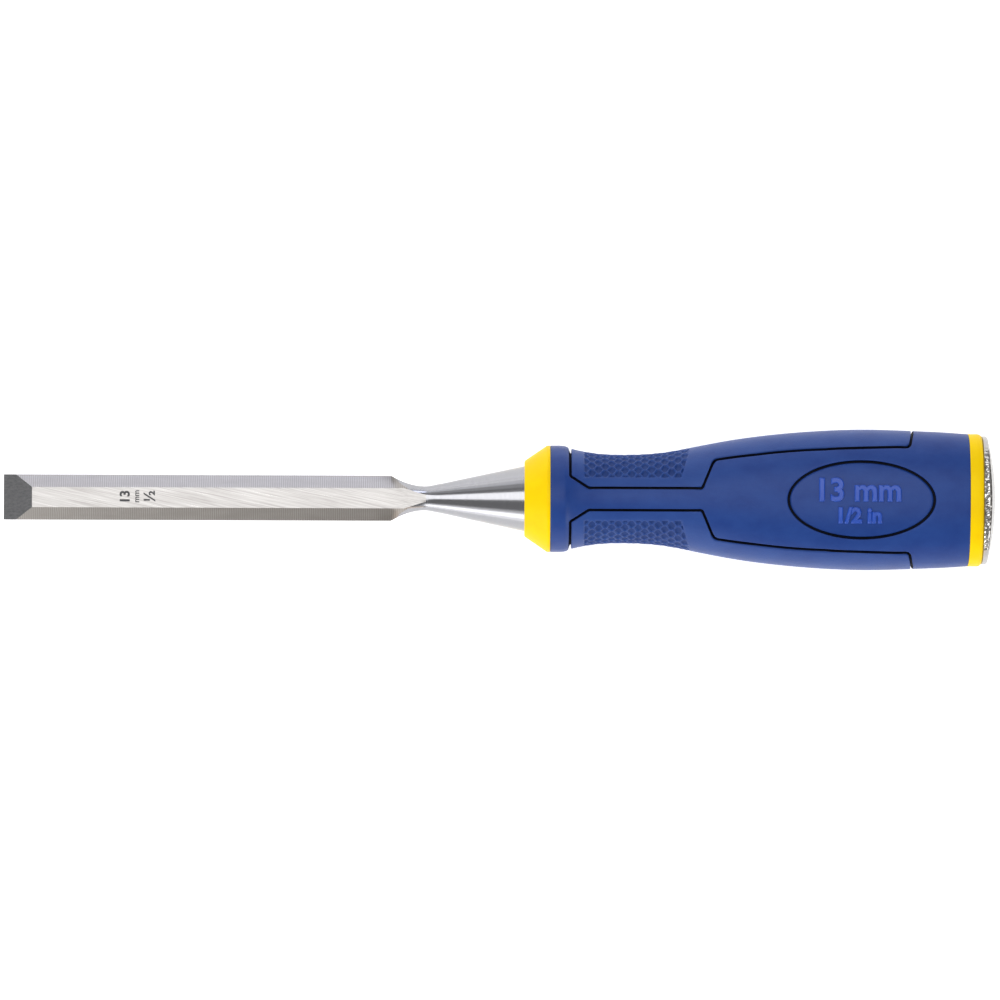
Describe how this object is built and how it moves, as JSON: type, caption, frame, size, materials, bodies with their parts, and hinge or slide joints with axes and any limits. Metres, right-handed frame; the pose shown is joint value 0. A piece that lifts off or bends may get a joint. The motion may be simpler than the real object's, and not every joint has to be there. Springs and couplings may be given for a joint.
{
  "type": "bench chisel",
  "caption": "Bevel-edge bench chisel: steel blade with a cutting bevel and conical bolster, waisted oval handle with soft side pads, coloured end rings and a domed striking cap.",
  "frame": {"origin": "middle of the cutting edge, on the flat back of the blade", "axes": "+X from the cutting edge to the striking cap along the tool, +Z out of the bevel side of the blade, +Y completes the right-handed frame"},
  "size_m": [0.285, 0.0404, 0.0338],
  "materials": {
    "blade_steel": "ground lengthwise and across, polished bolster",
    "yellow_plastic": "semi-gloss moulded",
    "core_plastic": "as moulded, hidden",
    "blue_handle": "fine moulded texture",
    "blue_soft_grip": "soft touch, pebbled at the waist",
    "blue_badge": "fine moulded texture",
    "cap_steel": "stamped, rough rim"
  },
  "bodies": {
    "root": {"blade": "blade_steel", "front_collar": "yellow_plastic", "handle_core": "core_plastic", "handle_body": "blue_handle", "grip_pad_left": "blue_soft_grip", "grip_pad_right": "blue_soft_grip", "badge_top": "blue_badge", "badge_bottom": "blue_badge", "rear_ring": "yellow_plastic", "striking_cap": "cap_steel"}
  },
  "joints": []
}
